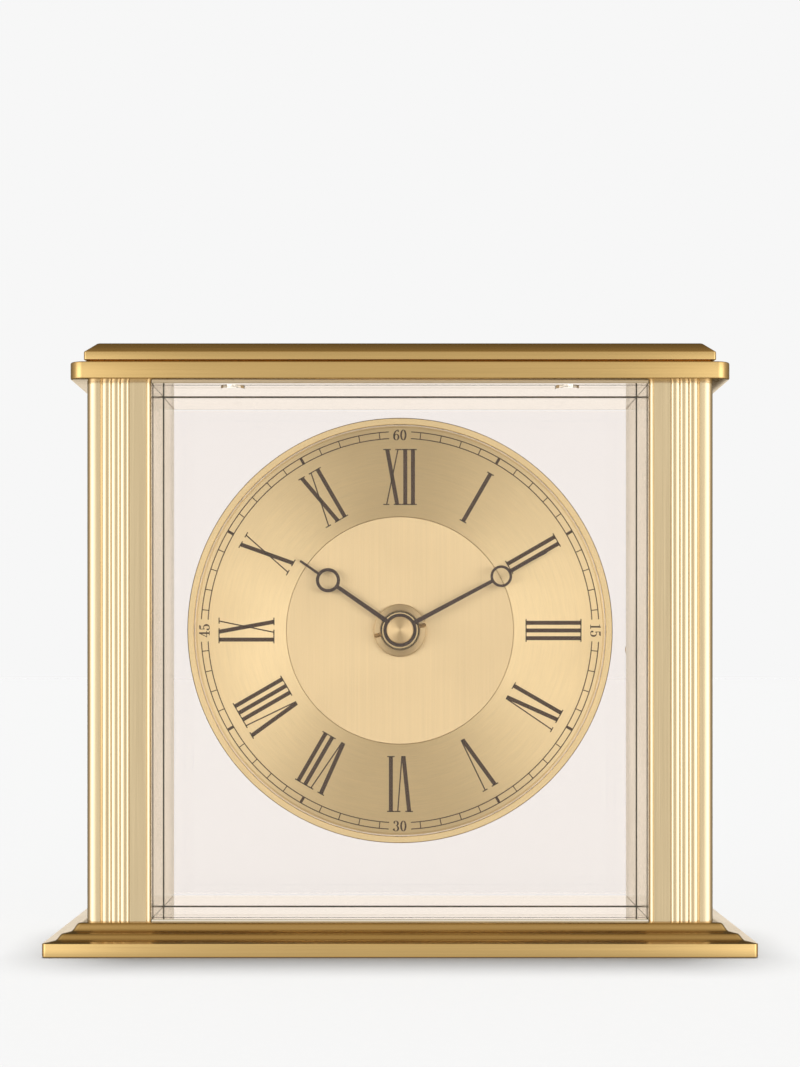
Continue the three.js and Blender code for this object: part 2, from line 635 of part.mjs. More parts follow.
function makeDoor() {
  const { front, rear, half, bottom, top } = REAR_GLASS;
  piece("rear_glass", box([-half, front, bottom], [half, rear, top]), "glass");
  const left = -half + 0.2;
  const clamp = (foot, edge, out) => {
    const [low, high] = [Math.min(foot, edge), Math.max(foot, edge)];
    const body = joined(
      box([left, front, low], [HINGE.right, rear + HINGE.plate, high]),
      box([left, rear, Math.min(edge, edge - out * HINGE.height)],
        [HINGE.right, rear + HINGE.plate, Math.max(edge, edge - out * HINGE.height)]),
    );
    const end = foot + out * HINGE.reach;
    return joined(body, rod(DOOR_AXIS.x, DOOR_AXIS.y, Math.min(edge, end), Math.max(edge, end), HINGE.pin));
  };
  piece("top_door_hinge", clamp(top + HINGE.foot, top, 1), "brightBrass");
  piece("bottom_door_hinge", clamp(bottom - HINGE.foot, bottom, -1), "brightBrass");
  const knob = [
    [0, rear], [1.6, rear], [1.3, rear + 1.4], [1.6, rear + 2.2], [3, rear + 3.4], [3, rear + 4.4],
    [2.2, rear + 5.2], [0, rear + 5.4],
  ];
  piece("door_knob", turned(knob, 66, MAGNET.z, 20), "brightBrass");
  const steel = disc(2.5, PILLAR_REAR + 0.1, front, PILLAR_CENTRE_X, MAGNET.z, 16);
  piece("catch_plate", steel, "steel");
  const magnet = disc(MAGNET.radius, PILLAR_REAR - MAGNET.depth, PILLAR_REAR, PILLAR_CENTRE_X, MAGNET.z, 16);
  piece("catch_magnet", magnet, "steel");
}

makeBase();
makePillar("left_pillar", -1);
makePillar("right_pillar", 1);
makeTop();
makeFasteners();
makeLiners();
makePanes();
makeDial();
makeCase();
makeBattery();
makeElectronics();
makeTrain();
makeHands();
makeDoor();

export default group;
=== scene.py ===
import json
import math

import bmesh
import bpy
from mathutils import Matrix, Vector


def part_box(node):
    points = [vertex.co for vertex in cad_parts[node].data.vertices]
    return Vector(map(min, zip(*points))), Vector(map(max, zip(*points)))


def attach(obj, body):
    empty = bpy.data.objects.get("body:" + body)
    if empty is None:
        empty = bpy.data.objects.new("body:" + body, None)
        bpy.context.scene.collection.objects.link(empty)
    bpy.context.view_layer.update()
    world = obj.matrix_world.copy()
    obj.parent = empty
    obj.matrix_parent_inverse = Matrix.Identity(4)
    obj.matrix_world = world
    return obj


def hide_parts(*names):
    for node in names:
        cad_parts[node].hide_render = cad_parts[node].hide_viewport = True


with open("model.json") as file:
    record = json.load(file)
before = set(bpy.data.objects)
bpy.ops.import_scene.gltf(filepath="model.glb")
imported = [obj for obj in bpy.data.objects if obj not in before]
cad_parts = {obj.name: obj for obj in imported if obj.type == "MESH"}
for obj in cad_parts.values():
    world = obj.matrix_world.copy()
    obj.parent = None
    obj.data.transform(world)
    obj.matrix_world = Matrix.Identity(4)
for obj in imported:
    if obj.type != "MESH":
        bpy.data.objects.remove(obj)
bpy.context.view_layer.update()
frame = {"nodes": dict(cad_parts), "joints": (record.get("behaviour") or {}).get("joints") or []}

# Shapes are worked out in millimetres in the row frame, and turned into metres when a mesh is made.
MM = 0.001


# ---- Places read from the frame, in millimetres ----

def box_mm(node):
    low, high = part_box(node)
    return low / MM, high / MM


BASE_LOW, BASE_HIGH = box_mm("base_plinth")
COVER_LOW, COVER_HIGH = box_mm("base_cover")
PILLAR_LOW, PILLAR_HIGH = box_mm("right_pillar")
SLAB_LOW, SLAB_HIGH = box_mm("cornice_slab")
CAP_LOW, CAP_HIGH = box_mm("cap_plate")
RING_LOW, RING_HIGH = box_mm("chapter_ring")
DISC_LOW, DISC_HIGH = box_mm("centre_disc")
BEZEL_LOW, BEZEL_HIGH = box_mm("dial_bezel")
NUT_LOW, NUT_HIGH = box_mm("dial_nut")
KNOB_LOW, KNOB_HIGH = box_mm("setting_knob")

CENTRE_Z = (BEZEL_LOW.z + BEZEL_HIGH.z) / 2
DIAL_CENTRE = (0, 0, CENTRE_Z * MM)
JOINTS = {joint["name"]: joint for joint in frame["joints"]}
SETTING_AXIS = [c / MM for c in JOINTS["setting_turn"]["pos_m"]]


# ---- Camera ----

CAMERA_DISTANCE = 450.0  # from the front of the pillars
CAMERA_HEIGHT = 72.3
CAMERA_LENS = 60.73  # on a sensor 36 mm high
CAMERA_SENSOR = 36
CAMERA_SHIFT = 0.1214  # the photograph shows more above the clock than below it


def make_camera():
    data = bpy.data.cameras.new("camera")
    data.lens = CAMERA_LENS
    data.sensor_width = CAMERA_SENSOR
    data.shift_y = CAMERA_SHIFT
    data.clip_start = 0.01
    data.clip_end = 50
    camera = bpy.data.objects.new("camera", data)
    camera.location = (0, (PILLAR_LOW.y - CAMERA_DISTANCE) * MM, CAMERA_HEIGHT * MM)
    camera.rotation_euler = (math.radians(90), 0, 0)
    bpy.context.collection.objects.link(camera)
    bpy.context.scene.camera = camera


# ---- Mesh tools ----

def shade(mesh, angle=35):
    mesh.polygons.foreach_set("use_smooth", [True] * len(mesh.polygons))
    mesh.set_sharp_from_angle(angle=math.radians(angle))


def put(name, bm, material, body, replaces=(), bevel=0.0, segments=2, angle=35):
    """Makes a piece from a bmesh in millimetres, and has it ride on its body."""
    bmesh.ops.remove_doubles(bm, verts=bm.verts, dist=1e-5)
    bmesh.ops.recalc_face_normals(bm, faces=bm.faces)
    bmesh.ops.scale(bm, vec=(MM, MM, MM), verts=bm.verts)
    mesh = bpy.data.meshes.new(name)
    bm.to_mesh(mesh)
    bm.free()
    mesh.materials.append(material)
    shade(mesh, angle)
    piece = bpy.data.objects.new(name, mesh)
    bpy.context.collection.objects.link(piece)
    if bevel:
        edge = piece.modifiers.new("edge", "BEVEL")
        edge.width = bevel * MM
        edge.segments = segments
        edge.limit_method = "ANGLE"
        edge.angle_limit = math.radians(angle)
        edge.harden_normals = True
    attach(piece, body)
    if replaces:
        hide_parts(*replaces)
    return piece


def loft(bm, rings):
    """Joins closed rings of points into one closed skin, with a face on each end."""
    rows = [[bm.verts.new(point) for point in ring] for ring in rings]
    count = len(rows[0])
    for low, high in zip(rows, rows[1:]):
        for i in range(count):
            j = (i + 1) % count
            bm.faces.new((low[i], low[j], high[j], high[i]))
    bm.faces.new(list(reversed(rows[0])))
    bm.faces.new(rows[-1])
    return bm


def rounded_rectangle(half_x, half_y, radius, z, steps=8):
    ring = []
    for quarter, (sx, sy) in enumerate(((1, 1), (-1, 1), (-1, -1), (1, -1))):
        for i in range(steps + 1):
            angle = (quarter + i / steps) * math.pi / 2
            x = sx * (half_x - radius) + radius * math.cos(angle)
            y = sy * (half_y - radius) + radius * math.sin(angle)
            ring.append((x, y, z))
    return ring


def turned(bm, profile, steps=96, x=0.0, z=CENTRE_Z):
    """Turns a profile of (radius, y) points about an axis in depth."""
    rows = []
    for radius, depth in profile:
        if radius < 1e-6:
            rows.append([bm.verts.new((x, depth, z))])
            continue
        row = []
        for i in range(steps):
            angle = 2 * math.pi * i / steps
            row.append(bm.verts.new((x + radius * math.sin(angle), depth, z + radius * math.cos(angle))))
        rows.append(row)
    for a, b in zip(rows, rows[1:]):
        for i in range(steps):
            j = (i + 1) % steps
            if len(a) == 1 and len(b) == 1:
                break
            if len(a) == 1:
                bm.faces.new((a[0], b[j], b[i]))
            elif len(b) == 1:
                bm.faces.new((a[i], a[j], b[0]))
            else:
                bm.faces.new((a[i], a[j], b[j], b[i]))
    return bm


def closed(profile):
    return profile + [profile[0]]


def knurl(bm, ridges, depth, beyond, x, z):
    """Presses ridges into the outside of a turned body."""
    for vert in bm.verts:
        across, up = vert.co.x - x, vert.co.z - z
        if math.hypot(across, up) > beyond:
            share = 1 - depth * (1 + math.cos(ridges * math.atan2(across, up))) / 2
            vert.co.x, vert.co.z = x + across * share, z + up * share


def from_cad(node):
    """The shape of a CAD node in millimetres, with its flat faces merged."""
    bm = bmesh.new()
    bm.from_mesh(frame["nodes"][node].data)
    bmesh.ops.scale(bm, vec=(1 / MM, 1 / MM, 1 / MM), verts=bm.verts)
    bmesh.ops.dissolve_limit(bm, angle_limit=math.radians(1), verts=bm.verts, edges=bm.edges)
    return bm


def arc(cx, cy, radius, start, end, steps):
    """Points on an arc, with its angles in degrees."""
    points = []
    for i in range(steps + 1):
        angle = math.radians(start + (end - start) * i / steps)
        points.append((cx + radius * math.cos(angle), cy + radius * math.sin(angle)))
    return points


def slab_of(bm, outlines, place, thickness):
    """Fills an outline, less its holes, and thickens it. place(u, v, w) gives the point at depth w."""
    edges = []
    for outline in outlines:
        verts = [bm.verts.new(place(u, v, 0)) for u, v in outline]
        edges += [bm.edges.new((a, b)) for a, b in zip(verts, verts[1:] + verts[:1])]
    bmesh.ops.triangle_fill(bm, use_beauty=True, use_dissolve=False, edges=edges)
    step = Vector(place(0, 0, thickness)) - Vector(place(0, 0, 0))
    grown = bmesh.ops.extrude_face_region(bm, geom=list(bm.faces))
    moved = [item for item in grown["geom"] if isinstance(item, bmesh.types.BMVert)]
    bmesh.ops.translate(bm, vec=step, verts=moved)
    return bm


def prism(bm, outline, front, rear, place):
    """A small closed block from an outline with no holes."""
    near = [bm.verts.new(place(u, v, front)) for u, v in outline]
    far = [bm.verts.new(place(u, v, rear)) for u, v in outline]
    bm.faces.new(near)
    bm.faces.new(list(reversed(far)))
    for i in range(len(outline)):
        j = (i + 1) % len(outline)
        bm.faces.new((near[j], near[i], far[i], far[j]))


def join_rows(bm, rows, looped=False):
    """Joins rows of four corners into a bar, with a face on each end unless it is a loop."""
    pairs = list(zip(rows, rows[1:])) + ([(rows[-1], rows[0])] if looped else [])
    for a, b in pairs:
        for i in range(4):
            j = (i + 1) % 4
            bm.faces.new((a[i], a[j], b[j], b[i]))
    if not looped:
        bm.faces.new(rows[0][::-1])
        bm.faces.new(rows[-1])


def block(bm, low, high):
    ends = [(low[axis], high[axis]) for axis in range(3)]
    v = [bm.verts.new((x, y, z)) for x in ends[0] for y in ends[1] for z in ends[2]]
    for face in ((0, 1, 3, 2), (4, 6, 7, 5), (0, 4, 5, 1), (2, 3, 7, 6), (0, 2, 6, 4), (1, 5, 7, 3)):
        bm.faces.new([v[i] for i in face])
    return bm


def carve(piece, bm):
    """Cuts a bmesh in millimetres out of a piece for good."""
    bmesh.ops.recalc_face_normals(bm, faces=bm.faces)
    bmesh.ops.scale(bm, vec=(MM, MM, MM), verts=bm.verts)
    mesh = bpy.data.meshes.new("cutter")
    bm.to_mesh(mesh)
    bm.free()
    cutter = bpy.data.objects.new("cutter", mesh)
    bpy.context.collection.objects.link(cutter)
    cut = piece.modifiers.new("cut", "BOOLEAN")
    cut.object = cutter
    cut.solver = "EXACT"
    piece.modifiers.move(len(piece.modifiers) - 1, 0)
    bpy.context.view_layer.update()
    for other in piece.modifiers:
        other.show_viewport = other == cut
    graph = bpy.context.evaluated_depsgraph_get()
    result = bpy.data.meshes.new_from_object(piece.evaluated_get(graph))
    piece.modifiers.remove(cut)
    for other in piece.modifiers:
        other.show_viewport = True
    piece.data = result
    shade(result)
    bpy.data.objects.remove(cutter)


def on_dial(turn=0.0):
    """Places (right, up, depth) about the hands' axis, turned clockwise by an angle in degrees."""
    angle = math.radians(turn)
    s, c = math.sin(angle), math.cos(angle)
    return lambda u, v, w: (u * c + v * s, w, CENTRE_Z - u * s + v * c)


# ---- Materials ----

def linear(r, g, b):
    """A colour as it shows on a screen, from 0 to 255, as the renderer's own value."""
    return tuple(((c / 255 + 0.055) / 1.055) ** 2.4 if c > 10 else c / 255 / 12.92 for c in (r, g, b)) + (1,)


def new_material(name):
    material = bpy.data.materials.new(name)
    material.use_nodes = True
    return material, material.node_tree, material.node_tree.nodes["Principled BSDF"]


def add(tree, kind, inputs=None, **settings):
    """Adds a node. An input is given as a value or as the socket that feeds it."""
    node = tree.nodes.new(kind)
    for key, value in settings.items():
        setattr(node, key, value)
    for key, value in (inputs or {}).items():
        if isinstance(value, bpy.types.NodeSocket):
            tree.links.new(value, node.inputs[key])
        else:
            node.inputs[key].default_value = value
    return node


def place_of(tree):
    return add(tree, "ShaderNodeTexCoord").outputs["Object"]


def noise(tree, vector, scale=1.0, detail=3.0, rough=0.55):
    settings = {"Vector": vector, "Scale": scale, "Detail": detail, "Roughness": rough}
    return add(tree, "ShaderNodeTexNoise", settings).outputs["Fac"]


def spread(tree, value, low, high, start=0.3, end=0.7):
    settings = {"Value": value, "From Min": start, "From Max": end, "To Min": low, "To Max": high}
    return add(tree, "ShaderNodeMapRange", settings).outputs["Result"]


def math_of(tree, operation, a, b=0.0):
    return add(tree, "ShaderNodeMath", {0: a, 1: b}, operation=operation).outputs[0]


def blend_of(tree, share, first, second):
    node = add(tree, "ShaderNodeMix", {0: share}, data_type="RGBA")
    for index, value in ((6, first), (7, second)):
        if isinstance(value, bpy.types.NodeSocket):
            tree.links.new(value, node.inputs[index])
        else:
            node.inputs[index].default_value = value
    return node.outputs[2]


def scaled(color, by):
    return tuple(min(1.0, c * by) for c in color[:3]) + (1,)


def bump(tree, shader, height, strength, distance):
    settings = {"Height": height, "Strength": strength, "Distance": distance}
    tree.links.new(add(tree, "ShaderNodeBump", settings).outputs["Normal"], shader.inputs["Normal"])


def two_layers(tree, strong, weak):
    return math_of(tree, "ADD", math_of(tree, "MULTIPLY", strong, 0.6), math_of(tree, "MULTIPLY", weak, 0.4))


def straight_marks(tree, direction, fine, along):
    """Brush marks along one axis: noise that is stretched along it. The rates are marks in a metre."""
    layers = []
    for rate, length in ((fine, along), (fine / 5, along / 3)):
        scale = [rate, rate, rate]
        scale["XYZ".index(direction)] = length
        vector = add(tree, "ShaderNodeMapping", {"Vector": place_of(tree), "Scale": scale}).outputs[0]
        layers.append(noise(tree, vector, detail=4, rough=0.65))
    return two_layers(tree, *layers)


def vector_of(tree, operation, inputs):
    return add(tree, "ShaderNodeVectorMath", inputs, operation=operation).outputs


def about_axis(tree):
    """The way out from the dial's centre, and the distance from it."""
    offset = vector_of(tree, "SUBTRACT", {0: place_of(tree), 1: DIAL_CENTRE})[0]
    flat = vector_of(tree, "MULTIPLY", {0: offset, 1: (1, 0, 1)})[0]
    outwards = vector_of(tree, "NORMALIZE", {0: flat})[0]
    radius = vector_of(tree, "LENGTH", {0: flat})["Value"]
    return outwards, radius


def round_marks(tree, fine, around):
    """Brush marks in circles: noise read by radius, and slowly by angle."""
    outwards, radius = about_axis(tree)
    turn = vector_of(tree, "SCALE", {0: outwards, "Scale": around})[0]
    layers = []
    for rate in (fine, fine / 5):
        depth = add(tree, "ShaderNodeCombineXYZ", {"Y": math_of(tree, "MULTIPLY", radius, rate)}).outputs[0]
        vector = vector_of(tree, "ADD", {0: turn, 1: depth})[0]
        layers.append(noise(tree, vector, detail=4, rough=0.65))
    return two_layers(tree, *layers), outwards


def clouded(tree, shader, share, first, second):
    tree.links.new(blend_of(tree, share, first, second), shader.inputs["Base Color"])


def metal(name, color, roughness, marks="Z", fine=4200.0, along=25.0, anisotropy=0.5, tone=0.1,
          relief=0.25, metallic=1.0):
    """Brushed or spun metal: marks is the axis that the brush ran along, or round."""
    material, tree, shader = new_material(name)
    if marks == "round":
        grain, outwards = round_marks(tree, fine, along)
        tree.links.new(outwards, shader.inputs["Tangent"])
    else:
        grain = straight_marks(tree, marks, fine, along)
        tangent = {"Z": (1, 0, 0), "X": (0, 0, 1)}[marks]
        across = add(tree, "ShaderNodeCombineXYZ", dict(zip("XYZ", tangent))).outputs[0]
        tree.links.new(across, shader.inputs["Tangent"])
    clouds = noise(tree, place_of(tree), scale=35, detail=2)
    brushed = blend_of(tree, spread(tree, grain, 0, 1), scaled(color, 1 - tone), scaled(color, 1 + tone / 2))
    clouded(tree, shader, spread(tree, clouds, 0, 0.12), brushed, scaled(color, 0.72))
    rough = math_of(tree, "ADD", spread(tree, grain, roughness - 0.04, roughness + 0.06),
                    spread(tree, clouds, -0.02, 0.03))
    tree.links.new(rough, shader.inputs["Roughness"])
    shader.inputs["Metallic"].default_value = metallic
    shader.inputs["Anisotropic"].default_value = anisotropy
    bump(tree, shader, grain, relief, 1.2e-5)
    return material


def polished(name, color, roughness=0.1, tone=0.06, relief=0.05):
    material, tree, shader = new_material(name)
    clouds = noise(tree, place_of(tree), scale=140, detail=5, rough=0.6)
    haze = noise(tree, place_of(tree), scale=30, detail=2)
    clouded(tree, shader, spread(tree, clouds, 0, 1), scaled(color, 1 - tone), color)
    tree.links.new(spread(tree, haze, roughness * 0.6, roughness * 1.5), shader.inputs["Roughness"])
    shader.inputs["Metallic"].default_value = 1
    bump(tree, shader, clouds, relief, 1e-5)
    return material


def plastic(name, color, roughness=0.45, relief=0.3):
    material, tree, shader = new_material(name)
    fine = noise(tree, place_of(tree), scale=2500, detail=3, rough=0.7)
    clouds = noise(tree, place_of(tree), scale=60, detail=3)
    clouded(tree, shader, spread(tree, clouds, 0, 1), scaled(color, 0.88), scaled(color, 1.1))
    tree.links.new(spread(tree, fine, roughness - 0.06, roughness + 0.1), shader.inputs["Roughness"])
    bump(tree, shader, fine, relief, 2e-5)
    return material


def paint(name, color, roughness=0.4, shine=0.5):
    """A thin dark lacquer on metal, or printing ink."""
    material, tree, shader = new_material(name)
    fine = noise(tree, place_of(tree), scale=1800, detail=4, rough=0.7)
    clouded(tree, shader, spread(tree, fine, 0, 1), scaled(color, 0.85), scaled(color, 1.2))
    tree.links.new(spread(tree, fine, roughness - 0.08, roughness + 0.1), shader.inputs["Roughness"])
    shader.inputs["Specular IOR Level"].default_value = shine
    bump(tree, shader, fine, 0.15, 8e-6)
    return material


def felt(name, color):
    material, tree, shader = new_material(name)
    fibres = noise(tree, place_of(tree), scale=1400, detail=6, rough=0.8)
    clouds = noise(tree, place_of(tree), scale=70, detail=3)
    share = math_of(tree, "ADD", spread(tree, fibres, 0, 0.7), spread(tree, clouds, 0, 0.3))
    clouded(tree, shader, share, scaled(color, 0.55), scaled(color, 1.8))
    shader.inputs["Roughness"].default_value = 0.95
    shader.inputs["Sheen Weight"].default_value = 0.4
    bump(tree, shader, fibres, 0.8, 2e-4)
    return material


def glass(name, tint=(1.0, 0.99, 0.986, 1)):
    """Clear float glass: it lets light straight through, and mirrors more at a shallow angle."""
    material, tree, shader = new_material(name)
    tree.nodes.remove(shader)
    smears = noise(tree, place_of(tree), scale=45, detail=4, rough=0.6)
    through = add(tree, "ShaderNodeBsdfTransparent", {"Color": tint})
    rough = spread(tree, smears, 0.01, 0.05)
    mirror = add(tree, "ShaderNodeBsdfGlossy", {"Color": (1, 1, 1, 1), "Roughness": rough})
    facing = add(tree, "ShaderNodeLayerWeight", {"Blend": 0.5}).outputs["Facing"]
    steep = math_of(tree, "POWER", facing, 5.0)
    share = math_of(tree, "ADD", math_of(tree, "MULTIPLY", steep, 0.7), 0.035)
    mixed = add(tree, "ShaderNodeMixShader", {0: share, 1: through.outputs[0], 2: mirror.outputs[0]})
    tree.links.new(mixed.outputs[0], tree.nodes["Material Output"].inputs["Surface"])
    return material


def make_materials():
    deep = (0.64, 0.455, 0.205, 1)
    pale = (0.70, 0.585, 0.405, 1)
    light = (0.9, 0.73, 0.44, 1)
    return {
        "case": metal("case_brass", deep, 0.2, "X", anisotropy=0.5),
        "pillar": metal("pillar_brass", pale, 0.16, "Z", anisotropy=0.4),
        "ring": metal("ring_brass", (0.80, 0.655, 0.40, 1), 0.42, "round", fine=3600, along=5,
                      anisotropy=0.95),
        "disc": metal("disc_brass", (0.68, 0.55, 0.34, 1), 0.42, "Z", fine=3600, anisotropy=0.92),
        "bright": metal("bright_brass", light, 0.2, "round", fine=2600, along=4,
                        anisotropy=0.4, tone=0.06, relief=0.08),
        "spun": metal("spun_brass", (0.68, 0.53, 0.31, 1), 0.42, "round", fine=5200, along=3,
                      anisotropy=0.92, tone=0.12),
        "knob": polished("knob_brass", linear(244, 212, 150), 0.14),
        "hands": paint("hand_lacquer", linear(62, 44, 42), 0.4, 0.2),
        "ink": paint("dial_ink", linear(74, 54, 44), 0.6, 0.15),
        "nickel": polished("bright_nickel", (0.9, 0.88, 0.85, 1), 0.03, 0.02, 0.008),
        "steel": metal("zinc_steel", linear(190, 190, 194), 0.4, "X", fine=3000, anisotropy=0.2,
                       metallic=0.55),
        "wrap": paint("battery_wrap", linear(52, 96, 150), 0.3),
        "black": plastic("black_plastic", linear(34, 34, 36)),
        "white": plastic("white_plastic", linear(232, 230, 220), 0.3, relief=0.1),
        "board": plastic("green_board", linear(28, 84, 50), 0.35, relief=0.15),
        "rubber": plastic("black_rubber", linear(24, 24, 24), 0.75, relief=0.5),
        "copper": metal("copper_wire", linear(196, 112, 62), 0.3, "round", fine=4000, along=2,
                        anisotropy=0.3),
        "felt": felt("dark_felt", linear(40, 56, 46)),
        "glass": glass("clear_glass"),
    }


# ---- Base, pillars, slab and cap ----

OVERHANG_ZERO = PILLAR_HIGH.x  # the pillars' outer faces
PILLAR_FRONT = PILLAR_LOW.y
MITRE = 1.0  # the corners of the base and the cap
SLAB_CORNER = 3.3
PLINTH_TOP = 3.55
BASE_WALL = 4.0
CAP_SEAM = 1.0  # the step that draws a dark line under the cap
CAP_CHAMFER = {"height": 2.6, "in": 3.0}


def plate_ring(overhang, z, radius):
    return rounded_rectangle(OVERHANG_ZERO + overhang, -PILLAR_FRONT + overhang, radius, z)


def ogee(start, end, steps=10):
    """An S-shaped slope from one (overhang, z) point up to another: hollow below and round above."""
    points = []
    for i in range(steps + 1):
        share = i / steps
        rise = (1 - math.cos(math.pi * share)) / 2
        points.append((start[0] + (end[0] - start[0]) * share, start[1] + (end[1] - start[1]) * rise))
    return points


def make_base(m):
    widest = BASE_HIGH.x - OVERHANG_ZERO
    bottom, top = BASE_LOW.z, BASE_HIGH.z
    rim = widest - BASE_WALL
    profile = [(rim, COVER_HIGH.z), (rim, bottom + 0.1), (rim + 0.1, bottom)]
    profile += [(widest - 0.3, bottom), (widest - 0.08, bottom + 0.1), (widest, bottom + 0.3)]
    profile += [(widest, PLINTH_TOP - 0.25), (widest - 0.06, PLINTH_TOP - 0.07), (widest - 0.25, PLINTH_TOP)]
    profile += ogee((6.6, PLINTH_TOP + 0.3), (4.8, PLINTH_TOP + 1.85))
    profile += ogee((3.2, PLINTH_TOP + 2.1), (1.4, top - 0.08))
    profile += [(0.9, top)]
    bm = bmesh.new()
    loft(bm, [plate_ring(overhang, z, MITRE) for overhang, z in profile])
    put("base_plinth_fine", bm, m["case"], "case", ["base_plinth"], angle=50)


def make_top(m):
    overhang = SLAB_HIGH.x - OVERHANG_ZERO
    edge = 0.35
    profile = [(overhang - edge, SLAB_LOW.z)]
    profile += arc(overhang - edge, SLAB_LOW.z + edge, edge, -60, 0, 2)
    profile += arc(overhang - edge, SLAB_HIGH.z - edge, edge, 0, 90, 3)
    bm = loft(bmesh.new(), [plate_ring(o, z, SLAB_CORNER) for o, z in profile])
    put("cornice_slab_fine", bm, m["case"], "case", ["cornice_slab"], angle=50)

    overhang = CAP_HIGH.x - OVERHANG_ZERO
    chamfer_start = CAP_HIGH.z - CAP_CHAMFER["height"]
    chamfer_in = CAP_CHAMFER["in"]
    profile = [
        (overhang - CAP_SEAM, CAP_LOW.z), (overhang - CAP_SEAM, CAP_LOW.z + CAP_SEAM / 2),
        (overhang, CAP_LOW.z + CAP_SEAM), (overhang, chamfer_start - 0.1),
        (overhang - 0.1, chamfer_start + 0.1),
        (overhang - chamfer_in + 0.15, CAP_HIGH.z - 0.1), (overhang - chamfer_in - 0.1, CAP_HIGH.z),
    ]
    bm = bmesh.new()
    loft(bm, [plate_ring(o, z, MITRE * 0.6) for o, z in profile])
    put("cap_plate_fine", bm, m["case"], "case", ["cap_plate"], angle=30)


REED_WIDTH = 2.25
REED_DEPTH = 0.55
REED_STEPS = 16
BULLNOSE = 3.65
QUIRK = 0.45  # the small step between the round corner and the reeds
BEAD = 1.0  # the round inner corner
GLASS_GROOVE = 2.0
HOLLOW = {"from": 3.4, "width": 9, "front": 5, "depth": 37}


def pillar_face():
    """The front of a pillar from its outer corner inwards, as (in from the side, back from the front)."""
    face = []
    for i in range(17):
        angle = math.radians(90 * i / 16)
        face.append((BULLNOSE * (1 - math.cos(angle)), BULLNOSE * (1 - math.sin(angle)) ** 1.95))
    start = BULLNOSE + QUIRK
    face.append((start, 0.5))
    for reed in range(3):
        for i in range(1, REED_STEPS + 1):
            across = i / REED_STEPS
            back = REED_DEPTH * (1 - math.sin(math.pi * across) ** 0.28)
            face.append((start + (reed + across) * REED_WIDTH, back))
    flat_end = PILLAR_HIGH.x - PILLAR_LOW.x - BEAD
    face += [(face[-1][0] + 0.12, 0.0), (flat_end - 0.2, 0.0), (flat_end - 0.1, 0.15), (flat_end, 0.0)]
    return face + arc(flat_end, BEAD, BEAD, -72, 0, 4)


def make_pillars(m):
    width = PILLAR_HIGH.x - PILLAR_LOW.x
    depth = PILLAR_HIGH.y - PILLAR_LOW.y
    groove_end = width - GLASS_GROOVE
    grooves = []
    for node in ("front_glass", "dial_glass"):
        low, high = box_mm(node)
        near, far = low.y - PILLAR_FRONT - 0.1, high.y - PILLAR_FRONT + 0.1
        grooves += [(width, near), (groove_end, near), (groove_end, far), (width, far)]
    face = pillar_face()
    outline = face + grooves + [(u, depth - v) for u, v in reversed(face)]
    hollow = [(HOLLOW["from"] + HOLLOW["width"] * s, HOLLOW["front"] + HOLLOW["depth"] * t)
              for s, t in ((0, 0), (1, 0), (1, 1), (0, 1))]
    for node, side in (("left_pillar", -1), ("right_pillar", 1)):
        bm = bmesh.new()
        slab_of(bm, [outline, hollow],
                lambda u, v, w: (side * (PILLAR_HIGH.x - u), PILLAR_FRONT + v, PILLAR_LOW.z + w),
                PILLAR_HIGH.z - PILLAR_LOW.z)
        put(node + "_fine", bm, m["pillar"], "case", [node], angle=32)


# ---- Dial ----

DIAL_RADIUS = BEZEL_HIGH.x
RING_FRONT = RING_LOW.y
DISC_FRONT = DISC_LOW.y
PRINT = 0.05  # how far the ink stands out
PRINT_ROOT = 0.02  # and how far it goes in


def make_dial(m):
    inner, outer = DISC_HIGH.x + 0.02, RING_HIGH.x
    bm = turned(bmesh.new(), closed([
        (inner, RING_HIGH.y), (inner, RING_FRONT + 0.1), (inner + 0.1, RING_FRONT), (outer - 0.5, RING_FRONT),
        (outer - 0.35, RING_FRONT + 0.25), (outer - 0.1, RING_FRONT + 0.25), (outer, RING_FRONT + 0.3),
        (outer, RING_HIGH.y),
    ]), 192)
    put("chapter_ring_fine", bm, m["ring"], "case", ["chapter_ring"])

    hole, radius = 4.9, DISC_HIGH.x
    bm = turned(bmesh.new(), closed([
        (hole, DISC_HIGH.y), (hole, DISC_FRONT), (radius - 0.1, DISC_FRONT), (radius, DISC_FRONT + 0.1),
        (radius, DISC_HIGH.y),
    ]), 160)
    put("centre_disc_fine", bm, m["disc"], "case", ["centre_disc"])

    inside = RING_HIGH.x + 0.2
    crown = BEZEL_LOW.y
    profile = [(inside, BEZEL_HIGH.y), (inside, crown + 0.2), (inside + 0.15, crown)]
    profile += [(DIAL_RADIUS - 0.22, crown), (DIAL_RADIUS, crown + 0.3)]
    profile += [(DIAL_RADIUS, BEZEL_HIGH.y)]
    bm = turned(bmesh.new(), closed(profile), 192)
    put("dial_bezel_fine", bm, m["bright"], "case", ["dial_bezel"])

    outer, inner, front, back = NUT_HIGH.x, 4.95, NUT_LOW.y, NUT_HIGH.y
    bm = turned(bmesh.new(), closed([
        (inner, back), (inner, front + 0.25), (inner + 0.25, front), (outer - 0.3, front),
        (outer, front + 0.3), (outer, back),
    ]), 96)
    nut = put("dial_nut_fine", bm, m["spun"], "case", ["dial_nut"])
    at = on_dial(-12.5)
    for side in (-1, 1):
        notch = [(-0.8, front - 0.3), (0.8, front - 0.3), (0, front + 0.8)]
        carve(nut, loft(bmesh.new(), [[at(side * u, v, w) for v, w in notch] for u in (4, 8)]))


# Roman figures stand with their feet towards the centre.
FIGURE = {"foot": 32.8, "top": 47.4, "thick": 1.04, "thin": 0.3, "serif": 0.28}
LETTER_WIDTH = {"I": 1.95, "V": 4.7, "X": 4.7}
FIGURES = ("XII", "I", "II", "III", "IV", "V", "VI", "VII", "VIII", "IX", "X", "XI")


